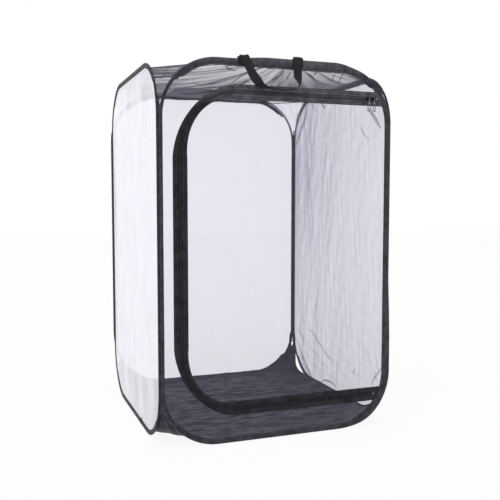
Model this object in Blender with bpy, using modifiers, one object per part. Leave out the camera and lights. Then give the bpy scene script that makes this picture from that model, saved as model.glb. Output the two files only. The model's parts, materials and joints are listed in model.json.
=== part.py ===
"""Pop-up mesh terrarium: four sprung hoops in folded tape, sheer walls, a zipped door and two handles.

Metres, Z up. The front faces -Y and the underside of the floor is at Z = 0.
Each wall is built upright in a frame of its own: X along the wall from its hinge corner, -Y outward.
"""

import math

import bmesh
import bpy
from mathutils import Vector

# Overall size over the hoops
WIDTH = 0.610
DEPTH = 0.610
HEIGHT = 0.914

# Clearance between pieces that touch
GAP = 0.0003

# Hoops: flat spring wire in a tape folded over it, with the tape's two edges closed on the mesh
HOOP_THICKNESS = 0.0056
TAPE_WIDTH = 0.0125
TAPE_WALL = 0.0005
TAPE_LIP = 0.0024
CORNER_RADIUS = 0.140
CORNER_STEPS = 8
WIRE_THICKNESS = 0.0009
WIRE_WIDTH = 0.0018
FERRULE_LENGTH = 0.024
FERRULE_WALL = 0.0003

# Cloth
MESH_THICKNESS = 0.0004
FLOOR_THICKNESS = 0.0006
SEAM_DEPTH = 0.0055
RIM_DEPTH = 0.0100
RIM_CLEARANCE = 0.0005
TOP_SEAM_ANGLE = 18.0
TOP_GUSSET_ANGLE = 72.0
FLOOR_GUSSET_ANGLE = 65.0
FLOOR_SLOPE = 0.030

# Zip: a C along the top, the left and the bottom of the door
ZIP_LEFT = 0.0485
ZIP_TOP_DROP = 0.0770
ZIP_BOTTOM_RISE = 0.0830
ZIP_RADIUS = 0.092
ZIP_STEPS = 10
ZIP_RIGHT_MARGIN = 0.0425
DOOR_HINGE_MARGIN = 0.0715
DOOR_GAP = 0.0009
BAND_WIDTH = 0.0350
BAND_THICKNESS = 0.0005
COIL_WIDTH = 0.0026
COIL_HEIGHT = 0.0015
COIL_SPLIT = 0.0016
MESH_UNDER_TAPE = 0.0060

# Sliders and pull tabs
SLIDER_LENGTH = 0.0120
SLIDER_WIDTH = 0.0094
SLIDER_PLATE = 0.0010
SLIDER_PITCH = 0.0145
SLIDER_CLEARANCE = 0.0010
PULL_LENGTH = 0.0300
PULL_WIDTH = 0.0084
PULL_THICKNESS = 0.0013
PULL_EYE = 0.0026
PULL_BAR = 0.0008
STOP_LENGTH = 0.0040

# Webbing handles
STRAP_WIDTH = 0.0220
STRAP_THICKNESS = 0.0014
STRAP_SPAN = 0.1400
FRONT_STRAP_OFFSET = -0.0254
FRONT_STRAP_DROP = 0.0620
FRONT_STRAP_PUSH = 0.0100
BACK_STRAP_OFFSET = -0.0460
BACK_STRAP_REACH = 0.0600
BACK_STRAP_LIFT = 0.0010
STRAP_STEPS = 30

# Inner planes of the walls: the walls turn about the lines where these planes meet
HALF_X = WIDTH / 2 - HOOP_THICKNESS
HALF_Y = DEPTH / 2 - HOOP_THICKNESS
SPAN_X = 2 * HALF_X
SPAN_Y = 2 * HALF_Y
MIDDLE_Y = -HOOP_THICKNESS / 2


def clear_scene():
    for item in list(bpy.data.objects):
        bpy.data.objects.remove(item)


def material(name, colour, roughness, metallic=0.0, alpha=1.0):
    made = bpy.data.materials.new(name)
    made.use_nodes = True
    shader = made.node_tree.nodes["Principled BSDF"]
    shader.inputs["Base Color"].default_value = (*colour, 1.0)
    shader.inputs["Roughness"].default_value = roughness
    shader.inputs["Metallic"].default_value = metallic
    shader.inputs["Alpha"].default_value = alpha
    made.diffuse_color = (*colour, alpha)
    return made


def empty(name, location, turn=0.0, parent=None):
    made = bpy.data.objects.new(name, None)
    made.location = location
    made.rotation_euler = (0.0, 0.0, turn)
    made.parent = parent
    made.empty_display_size = 0.03
    collection.objects.link(made)
    return made


def add(name, data, frame, finish, location=(0.0, 0.0, 0.0)):
    """Links a new object of this data under its frame."""
    made = bpy.data.objects.new(name, data)
    made.parent = frame
    made.location = location
    data.materials.append(finish)
    collection.objects.link(made)
    return made


def mesh_from(bm, name):
    bmesh.ops.recalc_face_normals(bm, faces=bm.faces)
    if bm.calc_volume(signed=True) < 0:
        bmesh.ops.reverse_faces(bm, faces=bm.faces)
    data = bpy.data.meshes.new(name)
    bm.to_mesh(data)
    bm.free()
    return data


def loft(name, rings, closed):
    """A skin through rings of points, joined end to end, or with its two ends filled."""
    bm = bmesh.new()
    made = [[bm.verts.new(point) for point in ring] for ring in rings]
    pairs = list(zip(made, made[1:]))
    if closed:
        pairs.append((made[-1], made[0]))
    for one, two in pairs:
        for i in range(len(one)):
            j = (i + 1) % len(one)
            bm.faces.new((one[i], one[j], two[j], two[i]))
    if not closed:
        bm.faces.new(made[0])
        bm.faces.new(made[-1])
    return mesh_from(bm, name)


def corner_arc(cx, cz, radius, first, steps):
    """Points and outward directions of a quarter turn, counter-clockwise from the first angle."""
    found = []
    for k in range(steps + 1):
        angle = math.radians(first + 90.0 * k / steps)
        way = (math.cos(angle), math.sin(angle))
        found.append(((cx + radius * way[0], cz + radius * way[1]), way))
    return found


def hoop_line(x0, x1, z0, z1):
    """Outer edge of a hoop, once round, as (point, outward direction)."""
    r = CORNER_RADIUS
    n = CORNER_STEPS
    line = corner_arc(x1 - r, z0 + r, r, -90.0, n)
    line += corner_arc(x1 - r, z1 - r, r, 0.0, n)
    line += corner_arc(x0 + r, z1 - r, r, 90.0, n)
    line += corner_arc(x0 + r, z0 + r, r, 180.0, n)
    return line


def along(line, section, middle):
    """Rings of a section set square to a line: (inward, across) becomes a point of the wall's frame."""
    rings = []
    for (x, z), (nx, nz) in line:
        rings.append([(x - nx * u, middle + v, z - nz * u) for u, v in section])
    return rings


def tape_section():
    """The folded tape: a round nose over the wire, tapering to two lips with a slot for the mesh."""
    nose = HOOP_THICKNESS / 2
    lip = TAPE_LIP / 2
    slot = MESH_THICKNESS / 2 + GAP
    hollow = nose - TAPE_WALL
    outer = [(nose - nose * math.cos(a), nose * math.sin(a)) for a in half_turn()]
    inner = [(nose - hollow * math.cos(a), hollow * math.sin(a)) for a in half_turn()]
    inner.reverse()
    one_lip = [(TAPE_WIDTH, lip), (TAPE_WIDTH, slot)]
    other_lip = [(TAPE_WIDTH, -slot), (TAPE_WIDTH, -lip)]
    return outer + one_lip + inner + other_lip


def half_turn():
    return [math.radians(angle) for angle in (-90, -50, 0, 50, 90)]


def block_section(u, v, width, height):
    """A rectangle about (u, v)."""
    w = width / 2
    h = height / 2
    return [(u - w, v - h), (u + w, v - h), (u + w, v + h), (u - w, v + h)]


def flat_sheet(name, outlines, thickness, frame, y, finish):
    """A flat upright sheet, from an outline and any holes in it."""
    curve = bpy.data.curves.new(name, "CURVE")
    curve.dimensions = "2D"
    curve.fill_mode = "BOTH"
    curve.extrude = thickness / 2
    for outline in outlines:
        spline = curve.splines.new("POLY")
        spline.points.add(len(outline) - 1)
        for point, (x, z) in zip(spline.points, outline):
            point.co = (x, z, 0.0, 1.0)
        spline.use_cyclic_u = True
    made = add(name, curve, frame, finish, (0.0, y, 0.0))
    made.rotation_euler = (math.pi / 2, 0.0, 0.0)
    return made


def box(name, size, centre, frame, finish, bevel=0.0):
    """A block with its edges rounded."""
    bm = bmesh.new()
    bmesh.ops.create_cube(bm, size=1.0)
    for vertex in bm.verts:
        vertex.co = Vector([c * s for c, s in zip(vertex.co, size)])
    made = add(name, mesh_from(bm, name), frame, finish, centre)
    if bevel:
        rounding = made.modifiers.new("Rounding", "BEVEL")
        rounding.width = bevel
        rounding.segments = 2
    return made


def rod(name, radius, length, centre, frame, finish, sides=16):
    """A round bar along X."""
    bm = bmesh.new()
    bmesh.ops.create_cone(bm, cap_ends=True, segments=sides, radius1=radius, radius2=radius, depth=length)
    for vertex in bm.verts:
        vertex.co = Vector((vertex.co.z, vertex.co.y, -vertex.co.x))
    return add(name, mesh_from(bm, name), frame, finish, centre)


def as_helper(item):
    """Takes a shape out of the model, for use in a Boolean."""
    item.hide_render = True
    item.display_type = "WIRE"
    collection.objects.unlink(item)
    helpers.objects.link(item)


def combine(item, others, operation):
    for number, other in enumerate(others):
        as_helper(other)
        step = item.modifiers.new(f"{operation.title()} {number}", "BOOLEAN")
        step.operation = operation
        step.solver = "EXACT"
        step.object = other


def sheet_outline(x0, x1, inset):
    """Edge of a hoop's mesh, seated between the lips of the tape."""
    found = []
    for (x, z), (nx, nz) in hoop_line(x0, x1, 0.0, HEIGHT):
        found.append((x - nx * inset, z - nz * inset))
    return found


def hoop(side, frame, x0, x1):
    """The wire, its ferrule and the folded tape of one wall."""
    line = hoop_line(x0, x1, 0.0, HEIGHT)
    nose = HOOP_THICKNESS / 2
    tape = f"{side}_hoop_tape"
    add(tape, loft(tape, along(line, tape_section(), MIDDLE_Y), True), frame, black_tape)
    wire = f"{side}_hoop_wire"
    bar = block_section(nose, 0.0, WIRE_THICKNESS, WIRE_WIDTH)
    add(wire, loft(wire, along(line, bar, MIDDLE_Y), True), frame, spring_steel)
    hollow = (FERRULE_LENGTH * 2, WIRE_WIDTH + 2 * GAP, WIRE_THICKNESS + 2 * GAP)
    outside = (FERRULE_LENGTH, hollow[1] + 2 * FERRULE_WALL, hollow[2] + 2 * FERRULE_WALL)
    place = ((x0 + x1) / 2, MIDDLE_Y, nose)
    ferrule = box(f"{side}_hoop_ferrule", outside, place, frame, ferrule_metal)
    combine(ferrule, [box(f"{side}_ferrule_bore", hollow, place, frame, ferrule_metal)], "DIFFERENCE")


def plain_wall(side, frame, x0, x1, finish):
    hoop(side, frame, x0, x1)
    outline = sheet_outline(x0, x1, TAPE_WIDTH - SEAM_DEPTH)
    flat_sheet(f"{side}_mesh", [outline], MESH_THICKNESS, frame, MIDDLE_Y, finish)


def zip_line(x_end):
    """Middle line of the zip, from the top right along the C to the bottom right.

    Each point comes with its outward direction.
    """
    top = HEIGHT - ZIP_TOP_DROP
    r = ZIP_RADIUS
    line = [((x_end, top), (0.0, 1.0))]
    line += corner_arc(ZIP_LEFT + r, top - r, r, 90.0, ZIP_STEPS)
    line += corner_arc(ZIP_LEFT + r, ZIP_BOTTOM_RISE + r, r, 180.0, ZIP_STEPS)
    line.append(((x_end, ZIP_BOTTOM_RISE), (0.0, -1.0)))
    return line


def offset_points(line, distance):
    """Points of the line moved outward."""
    return [(x + nx * distance, z + nz * distance) for (x, z), (nx, nz) in line]


def ribbon_ring(line, inner, outer, thickness, y):
    """Rings of a flat band that runs beside a line, from inner to outer, both counted outward."""
    half = thickness / 2
    section = [(-inner, -half), (-outer, -half), (-outer, half), (-inner, half)]
    return along(line, section, y)


def band(name, line, inner, outer, thickness, y, frame, finish):
    add(name, loft(name, ribbon_ring(line, inner, outer, thickness, y), False), frame, finish)


def chain_levels():
    """Y of the tape, the coil and the slider's plates, outward from the mesh."""
    tape = MIDDLE_Y - MESH_THICKNESS / 2 - GAP - BAND_THICKNESS / 2
    coil = tape - BAND_THICKNESS / 2 - GAP - COIL_HEIGHT / 2
    front_plate = coil - COIL_HEIGHT / 2 - GAP - SLIDER_PLATE / 2
    back_plate = tape + BAND_THICKNESS / 2 + GAP + SLIDER_PLATE / 2
    return tape, coil, front_plate, back_plate


def door_opening(hinge, end):
    """Outline of the hole for the door, with a slot at each end that keeps the closed chain free."""
    hole = offset_points(zip_line(end), MESH_UNDER_TAPE)
    low = ZIP_BOTTOM_RISE + MESH_UNDER_TAPE
    high = HEIGHT - ZIP_TOP_DROP - MESH_UNDER_TAPE
    return [*hole, (end, low), (hinge, low), (hinge, high), (end, high)]


def front_wall(frame):
    """The front hoop with its mesh, the fixed half of the zip and the short closed ends of the chain."""
    hoop("front", frame, GAP, SPAN_X - GAP)
    tape, coil, _, _ = chain_levels()
    end = SPAN_X - ZIP_RIGHT_MARGIN
    hinge = SPAN_X - DOOR_HINGE_MARGIN
    half = BAND_WIDTH / 2
    edge = COIL_SPLIT / 2
    hole = door_opening(hinge + DOOR_GAP / 2, end + STOP_LENGTH + 3 * GAP)
    outside = sheet_outline(GAP, SPAN_X - GAP, TAPE_WIDTH - SEAM_DEPTH)
    flat_sheet("front_mesh", [outside, hole], MESH_THICKNESS, frame, MIDDLE_Y, white_mesh)
    whole = zip_line(end)
    band("zip_tape_outer", whole, edge, half, BAND_THICKNESS, tape, frame, black_tape)
    band("zip_coil_outer", whole, edge, edge + COIL_WIDTH, COIL_HEIGHT, coil, frame, zip_coil)
    for place, z, way in (("top", HEIGHT - ZIP_TOP_DROP, 1.0), ("bottom", ZIP_BOTTOM_RISE, -1.0)):
        line = [((hinge + DOOR_GAP / 2, z), (0.0, way)), ((end, z), (0.0, way))]
        band(f"zip_tape_end_{place}", line, -edge, -half, BAND_THICKNESS, tape, frame, black_tape)
        band(f"zip_coil_end_{place}", line, -edge, -edge - COIL_WIDTH, COIL_HEIGHT, coil, frame, zip_coil)
        height = COIL_HEIGHT + 2 * GAP
        size = (STOP_LENGTH, height, 2 * COIL_WIDTH + COIL_SPLIT)
        centre = (end + GAP + STOP_LENGTH / 2, coil, z)
        box(f"zip_stop_{place}", size, centre, frame, bright_metal, 0.0004)


def door(frame):
    """The door's mesh and its half of the zip."""
    tape, coil, _, _ = chain_levels()
    edge = COIL_SPLIT / 2
    line = zip_line(SPAN_X - DOOR_HINGE_MARGIN - DOOR_GAP / 2)
    outline = offset_points(line, -MESH_UNDER_TAPE)
    flat_sheet("door_mesh", [outline], MESH_THICKNESS, frame, MIDDLE_Y, white_mesh)
    band("zip_tape_door", line, -edge, -BAND_WIDTH / 2, BAND_THICKNESS, tape, frame, black_tape)
    band("zip_coil_door", line, -edge, -edge - COIL_WIDTH, COIL_HEIGHT, coil, frame, zip_coil)


def slider(name, frame):
    """Two plates joined by a post between the coils, with a bow on the front for the pull tab."""
    _, coil, front_y, back_y = chain_levels()
    size = (SLIDER_LENGTH, SLIDER_PLATE, SLIDER_WIDTH)
    body = box(name, size, (0.0, front_y, 0.0), frame, bright_metal)
    back = box(f"{name}_back", size, (0.0, back_y, 0.0), frame, bright_metal)
    post_size = (SLIDER_LENGTH * 0.25, back_y - front_y, COIL_SPLIT - 2 * GAP)
    post = box(f"{name}_post", post_size, (0.0, (front_y + back_y) / 2, 0.0), frame, bright_metal)
    bar_y = bow_level()
    bow = rod(f"{name}_bow", PULL_BAR, SLIDER_LENGTH * 0.75, (0.0, bar_y, 0.0), frame, bright_metal, 12)
    leg_size = (0.0014, front_y - bar_y + PULL_BAR, 2 * PULL_BAR)
    legs = []
    for number, x in enumerate((-SLIDER_LENGTH * 0.33, SLIDER_LENGTH * 0.33)):
        centre = (x, (front_y + bar_y - PULL_BAR) / 2, 0.0)
        legs.append(box(f"{name}_leg_{number}", leg_size, centre, frame, bright_metal))
    combine(body, [back, post, bow, *legs], "UNION")
    for vertex in body.data.vertices:
        if vertex.co.x < 0:
            vertex.co.z *= 0.72
    return body


def bow_level():
    """Y of the slider's bow, which is the pull tab's axis."""
    front_y = chain_levels()[2]
    return front_y - SLIDER_PLATE / 2 - PULL_EYE - GAP


def pull_tab(name, frame):
    """An eye round the bow and a flat tab below it, hanging against the door."""
    eye = rod(name, PULL_EYE, PULL_THICKNESS * 2, (0.0, 0.0, 0.0), frame, bright_metal, 24)
    bore = rod(f"{name}_bore", PULL_BAR + GAP, PULL_WIDTH * 2, (0.0, 0.0, 0.0), frame, bright_metal, 16)
    drop = PULL_EYE - PULL_THICKNESS / 2
    neck = box(
        f"{name}_neck",
        (PULL_THICKNESS * 2, PULL_THICKNESS, PULL_LENGTH * 0.4),
        (0.0, 0.0, -drop - PULL_LENGTH * 0.2),
        frame,
        bright_metal,
    )
    tab = box(
        f"{name}_tab",
        (PULL_WIDTH, PULL_THICKNESS, PULL_LENGTH * 0.72),
        (0.0, 0.0, -drop - PULL_LENGTH * 0.64),
        frame,
        bright_metal,
        0.0004,
    )
    slot = box(
        f"{name}_slot",
        (PULL_WIDTH * 0.56, PULL_THICKNESS * 3, PULL_LENGTH * 0.56),
        (0.0, 0.0, -drop - PULL_LENGTH * 0.65),
        frame,
        bright_metal,
    )
    combine(eye, [neck, tab], "UNION")
    combine(eye, [bore, slot], "DIFFERENCE")
    return eye


def rim_reach():
    """How far the top and the floor reach past the inner plane of a wall, to meet its tape."""
    nose = HOOP_THICKNESS / 2
    share = (RIM_DEPTH - nose) / (TAPE_WIDTH - nose)
    face = nose + (TAPE_LIP / 2 - nose) * share
    return nose - face - RIM_CLEARANCE


def rim_corner(bm, sx, sy, z_turn, way, first, last):
    """Edge points down one corner, from the first angle of the hoops' arcs to the last.

    Each pair holds a point on the hoop across X and one on the hoop across Y.
    """
    radius = CORNER_RADIUS - RIM_DEPTH
    reach = rim_reach()
    rows = []
    for k in range(CORNER_STEPS + 1):
        angle = math.radians(first + (last - first) * k / CORNER_STEPS)
        inset = CORNER_RADIUS - radius * math.sin(angle)
        z = z_turn + way * radius * math.cos(angle)
        on_side = bm.verts.new((sx * (HALF_X - inset), sy * (HALF_Y + reach), z))
        on_end = bm.verts.new((sx * (HALF_X + reach), sy * (HALF_Y - inset), z))
        rows.append((on_side, on_end) if sx * sy < 0 else (on_end, on_side))
    for one, two in zip(rows, rows[1:]):
        bm.faces.new((one[0], one[1], two[1], two[0]))
    return rows[0]


def cloth(name, bm, thickness, finish):
    """A sheet of the mesh's shape, given its thickness."""
    made = add(name, mesh_from(bm, name), None, finish)
    thicken = made.modifiers.new("Cloth", "SOLIDIFY")
    thicken.thickness = thickness
    thicken.offset = 0.0
    thicken.use_even_offset = True
    return made


def soft_sheet(name, z_turn, way, last, slope, thickness, finish):
    """A square sheet sewn inside the four hoops, its corners turned down or up along their arcs."""
    bm = bmesh.new()
    ring = []
    for sx, sy in ((1, -1), (1, 1), (-1, 1), (-1, -1)):
        ring += rim_corner(bm, sx, sy, z_turn, way, 0.0, last)
    field = ring
    if slope:
        level = thickness / 2 if way < 0 else HEIGHT - thickness / 2
        field = []
        for vertex in ring:
            x = vertex.co.x * (1.0 - slope / HALF_X)
            y = vertex.co.y * (1.0 - slope / HALF_Y)
            field.append(bm.verts.new((x, y, level)))
        for i, inner in enumerate(field):
            j = (i + 1) % len(field)
            bm.faces.new((ring[i], ring[j], field[j], inner))
    bm.faces.new(field)
    return cloth(name, bm, thickness, finish)


def top_gusset(corner, sx, sy):
    """The white piece that closes one upper corner between two hoops."""
    bm = bmesh.new()
    seam = math.degrees(2.5 * GAP / (CORNER_RADIUS - RIM_DEPTH))
    rim_corner(bm, sx, sy, HEIGHT - CORNER_RADIUS, 1.0, TOP_SEAM_ANGLE + seam, TOP_GUSSET_ANGLE)
    return cloth(f"top_gusset_{corner}", bm, MESH_THICKNESS, white_mesh)


def strap_wrap(name, x, frame):
    """The sewn end of a handle, folded over the top of the hoop."""
    thick = STRAP_THICKNESS
    top = HEIGHT + GAP
    outer = -HOOP_THICKNESS - GAP
    outer_low = HEIGHT - TAPE_WIDTH
    inner_low = HEIGHT - RIM_DEPTH + MESH_THICKNESS + 2 * GAP
    profile = [
        (outer - thick, outer_low),
        (outer, outer_low),
        (outer, top),
        (GAP, top),
        (GAP, inner_low),
        (GAP + thick, inner_low),
        (GAP + thick, top + thick),
        (outer - thick, top + thick),
    ]
    ends = [[(x + side * STRAP_WIDTH / 2, y, z) for y, z in profile] for side in (-1.0, 1.0)]
    add(name, loft(name, ends, False), frame, webbing)


def smooth(t):
    return t * t * (3.0 - 2.0 * t)


def strap_rings(middle_line, width_ways):
    """Rings of a flat strap, its width along the given ways and square to the line."""
    rings = []
    last = len(middle_line) - 1
    for k, (point, way) in enumerate(zip(middle_line, width_ways)):
        ahead = Vector(middle_line[min(k + 1, last)])
        behind = Vector(middle_line[max(k - 1, 0)])
        run = (ahead - behind).normalized()
        wide = Vector(way)
        wide = (wide - run * wide.dot(run)).normalized()
        thick = run.cross(wide) * STRAP_THICKNESS / 2
        wide = wide * STRAP_WIDTH / 2
        low = Vector(point) - thick
        high = Vector(point) + thick
        rings.append([low - wide, low + wide, high + wide, high - wide])
    return rings


def strap_loop(name, drop, push, frame):
    """A U of webbing that hangs from its two ends and turns edge-on at the bottom of the U."""
    line = []
    ways = []
    for k in range(STRAP_STEPS + 1):
        t = k / STRAP_STEPS
        deep = math.sin(math.pi * t)
        x = -math.cos(math.pi * t) * STRAP_SPAN / 2
        line.append((x, -push * smooth(deep), -drop * deep**0.75))
        turn = math.pi / 2 * smooth(min(max(deep - 0.18, 0.0) / 0.67, 1.0))
        if k > STRAP_STEPS / 2:
            turn = math.pi - turn
        ways.append((math.cos(turn), -math.sin(turn), 0.0))
    return add(name, loft(name, strap_rings(line, ways), False), frame, webbing)


def handle(side, wall, joint_at, turn, drop, push):
    """Two sewn ends on the hoop and the loose U between them."""
    wrap_middle = joint_at[0]
    for end, way in (("left", -1.0), ("right", 1.0)):
        strap_wrap(f"{side}_handle_wrap_{end}", wrap_middle + way * STRAP_SPAN / 2, wall)
    axis = empty(f"{side}_handle_axis", joint_at, 0.0, wall)
    loop = strap_loop(f"{side}_handle", drop, push, axis)
    loop.rotation_euler = (turn, 0.0, 0.0)


collection = bpy.data.collections.new("Pop-up terrarium")
helpers = bpy.data.collections.new("Helpers")
clear_scene()
bpy.context.scene.collection.children.link(collection)
bpy.context.scene.collection.children.link(helpers)
helpers.hide_render = True

black_tape = material("Black tape", (0.045, 0.045, 0.052), 0.72)
white_mesh = material("White mesh", (0.80, 0.80, 0.84), 0.80, 0.0, 0.35)
black_mesh = material("Black mesh", (0.10, 0.10, 0.115), 0.80, 0.0, 0.6)
floor_cloth = material("Floor cloth", (0.060, 0.058, 0.072), 0.65)
webbing = material("Webbing", (0.028, 0.028, 0.032), 0.70)
zip_coil = material("Zip coil", (0.020, 0.020, 0.022), 0.45)
spring_steel = material("Spring steel", (0.42, 0.42, 0.44), 0.35, 1.0)
ferrule_metal = material("Ferrule", (0.50, 0.50, 0.52), 0.40, 1.0)
bright_metal = material("Bright metal", (0.72, 0.72, 0.74), 0.22, 1.0)

back_frame = empty("back_wall_frame", (HALF_X, HALF_Y, 0.0), math.pi)
left_frame = empty("left_wall_hinge", (-HALF_X, HALF_Y, 0.0), -math.pi / 2)
right_frame = empty("right_wall_hinge", (HALF_X, HALF_Y, 0.0), math.pi / 2)
front_frame = empty("front_wall_hinge", (-HALF_X, -HALF_Y, 0.0), 0.0)

plain_wall("back", back_frame, GAP, SPAN_X - GAP, white_mesh)
plain_wall("left", left_frame, GAP, SPAN_Y - GAP, white_mesh)
plain_wall("right", right_frame, GAP - SPAN_Y, -GAP, white_mesh)
front_wall(front_frame)

top_level = HEIGHT - CORNER_RADIUS
soft_sheet("top_sheet", top_level, 1.0, TOP_SEAM_ANGLE, 0.0, MESH_THICKNESS, black_mesh)
top_gusset("front_left", -1, -1)
top_gusset("front_right", 1, -1)
top_gusset("back_left", -1, 1)
top_gusset("back_right", 1, 1)
floor_turn = (CORNER_RADIUS, -1.0, FLOOR_GUSSET_ANGLE, FLOOR_SLOPE)
soft_sheet("floor_sheet", *floor_turn, FLOOR_THICKNESS, floor_cloth)

door_axis_y = bow_level() - PULL_EYE - GAP
hinge_x = SPAN_X - DOOR_HINGE_MARGIN
door_axis = empty("door_axis", (hinge_x, door_axis_y, 0.0), 0.0, front_frame)
door_frame = empty("door_frame", (-hinge_x, -door_axis_y, 0.0), 0.0, door_axis)
door(door_frame)

slider_height = HEIGHT - ZIP_TOP_DROP
first_slider_x = hinge_x + DOOR_GAP / 2 + SLIDER_CLEARANCE + SLIDER_LENGTH / 2
for number, use in enumerate(("open", "end")):
    place = (first_slider_x + number * SLIDER_PITCH, 0.0, slider_height)
    slider_frame = empty(f"slider_{use}_frame", place, 0.0, front_frame)
    slider(f"slider_{use}", slider_frame)
    pull_axis = empty(f"pull_{use}_axis", (0.0, bow_level(), 0.0), 0.0, slider_frame)
    pull_tab(f"pull_{use}", pull_axis)

front_axis_y = -HOOP_THICKNESS - 2 * GAP - 1.5 * STRAP_THICKNESS - GAP
front_axis = (HALF_X + FRONT_STRAP_OFFSET, front_axis_y, HEIGHT - TAPE_WIDTH * 0.45)
handle("front", front_frame, front_axis, 0.0, FRONT_STRAP_DROP, FRONT_STRAP_PUSH)
back_axis = (HALF_X - BACK_STRAP_OFFSET, MIDDLE_Y, HEIGHT + 2 * GAP + 1.5 * STRAP_THICKNESS)
handle("back", back_frame, back_axis, math.pi / 2, BACK_STRAP_REACH, BACK_STRAP_LIFT)
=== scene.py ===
"""Pop-up mesh terrarium, dressed over its CAD frame.

Metres, Z up. Each wall is drawn in its own plane: u runs to the right as seen from outside,
z runs up and out is the distance outward from the middle of its hoop.
"""

import json
import math

import bpy
import numpy as np
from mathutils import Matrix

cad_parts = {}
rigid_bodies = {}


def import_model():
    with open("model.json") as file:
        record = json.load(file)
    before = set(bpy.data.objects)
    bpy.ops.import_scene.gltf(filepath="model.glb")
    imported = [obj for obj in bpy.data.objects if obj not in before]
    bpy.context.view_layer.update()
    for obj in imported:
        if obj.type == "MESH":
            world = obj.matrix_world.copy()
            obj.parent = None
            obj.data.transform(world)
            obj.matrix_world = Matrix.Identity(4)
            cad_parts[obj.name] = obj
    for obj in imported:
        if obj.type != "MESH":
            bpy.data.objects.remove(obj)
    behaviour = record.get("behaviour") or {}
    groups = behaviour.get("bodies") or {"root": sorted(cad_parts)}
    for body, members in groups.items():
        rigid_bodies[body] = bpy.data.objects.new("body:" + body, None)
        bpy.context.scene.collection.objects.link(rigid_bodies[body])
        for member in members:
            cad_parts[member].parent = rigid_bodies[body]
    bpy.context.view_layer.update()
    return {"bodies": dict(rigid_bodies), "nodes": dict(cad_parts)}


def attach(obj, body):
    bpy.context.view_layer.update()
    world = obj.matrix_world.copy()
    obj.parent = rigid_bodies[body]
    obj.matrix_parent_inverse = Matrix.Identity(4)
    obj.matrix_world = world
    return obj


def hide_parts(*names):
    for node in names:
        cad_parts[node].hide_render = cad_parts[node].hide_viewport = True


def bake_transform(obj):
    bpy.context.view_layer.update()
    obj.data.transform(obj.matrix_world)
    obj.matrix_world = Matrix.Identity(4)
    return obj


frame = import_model()

HEIGHT = 0.914  # of a hoop
HOOP_HALF = 0.2991  # half a hoop's width
CORNER = 0.140  # radius of its corners
TURN_TOP = HEIGHT - CORNER  # where its upper corners begin
MID = 0.3022  # from the cage's middle to a hoop's plane
HALF = 0.2994  # from the cage's middle to the inner face of a hoop's binding
RIM = 0.0100  # how far inside the hoops the corners of the top and the floor are sewn
ARC = CORNER - RIM  # radius of those seams
EDGE = HALF + 0.0008  # from the cage's middle to the edge of the top and of the floor
NOSE = 0.0028  # radius of the binding's outer edge
NOSE_SHARE = 0.28  # share of the binding's width that this edge takes
JOINT_AT = (0.090, 0.0)  # where the left hoop's tape is joined

HINGE_X = 0.2279  # the door's hinge line
CORNER_SOFT = 0.010  # over this, to each side, the front right corner's cloths turn from one hoop to the other
ZIP_LEFT, ZIP_LOW, ZIP_TOP = -0.2509, 0.0830, 0.8370  # the zip's line
ZIP_TURN = (0.136, 0.155)  # half axes of its two corners
ZIP_END, BAND_END = 0.2569, 0.2880  # where its coil and its tapes end
BAND_WIDE = 0.0175  # width of one tape
TAPE_OUT, COIL_OUT = 0.00075, 0.00205  # levels of the tapes and of the coil
NET_FROM_ZIP = 0.006  # the nets end this far from the zip's line, under its tapes

# Angles down a corner's arcs, in degrees, at which its cloths are sewn or end.
TOP_SEAM, GUSSET_END = 18.0, 80.0
EDGE_SEAM, LEFT_SEAM = 19.5, 46.0
FLOOR_GUSSET, ARCH_FOOT = 65.0, 78.0
SQUARE = (45.0, 135.0, 225.0, 315.0)  # corners of a square section

HOOP_STEPS = (0.004, 44)  # step along a hoop's straight runs, and steps round each of its corners
GUSSET_GRID, BLACK_ROWS = 40, 18  # rows and columns of a gusset, and how many rows are black at the left
TOP_GRID = 110  # rows and columns of the top
STRAP, SEWN_STRAP = (0.0215, 0.0013), (0.0218, 0.0012)  # width and thickness of the webbing, loose and sewn
STRAP_SPAN = 0.140  # between the two ends of a handle
FRONT_HANDLE_X, BACK_HANDLE_X = -0.0254, -0.046

WALLS = {
    "front": ((1, 0), (0, -1)),
    "back": ((-1, 0), (0, 1)),
    "left": ((0, -1), (-1, 0)),
    "right": ((0, 1), (1, 0)),
}


# ---------------------------------------------------------------- shapes


def smooth(t):
    """A soft step from 0 to 1: three times the square less twice the cube."""
    t = np.clip(t, 0.0, 1.0)
    return t * t * (3.0 - 2.0 * t)


def arch(t):
    """Half a sine wave: 0 at both ends, 1 in the middle."""
    return np.sin(math.pi * t)


def unit(ways):
    """Each row at length 1."""
    return ways / np.linalg.norm(ways, axis=1)[:, None]


def directions(degrees):
    """Unit directions at given angles in a plane."""
    angle = np.radians(degrees)
    return np.stack([np.cos(angle), np.sin(angle)], 1)


def place(side, u, z, out):
    """Points of a wall's plane as points of the room."""
    along, outward = WALLS[side]
    u, z, far = np.broadcast_arrays(u, z, MID + out)
    return np.stack([along[0] * u + outward[0] * far, along[1] * u + outward[1] * far, z], -1)


def ripple(a, b, seed, longest, shortest, slant=0.0, spread=3.0, count=12):
    """A soft random height over (a, b), about -1 to 1: the sum of sine waves.

    Their lengths fall evenly from longest to shortest, their directions lie about slant.
    """
    rng = np.random.default_rng(seed)
    total = 0.0
    for k in range(count):
        length = longest * (shortest / longest) ** (k / (count - 1))
        angle = slant + spread * rng.uniform(-0.5, 0.5)
        phase = rng.uniform(0.0, 2.0 * math.pi)
        wave = np.sin((a * math.cos(angle) + b * math.sin(angle)) * 2.0 * math.pi / length + phase)
        total = total + wave * (length / longest) ** 0.6
    return total / (0.42 * count)


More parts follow.
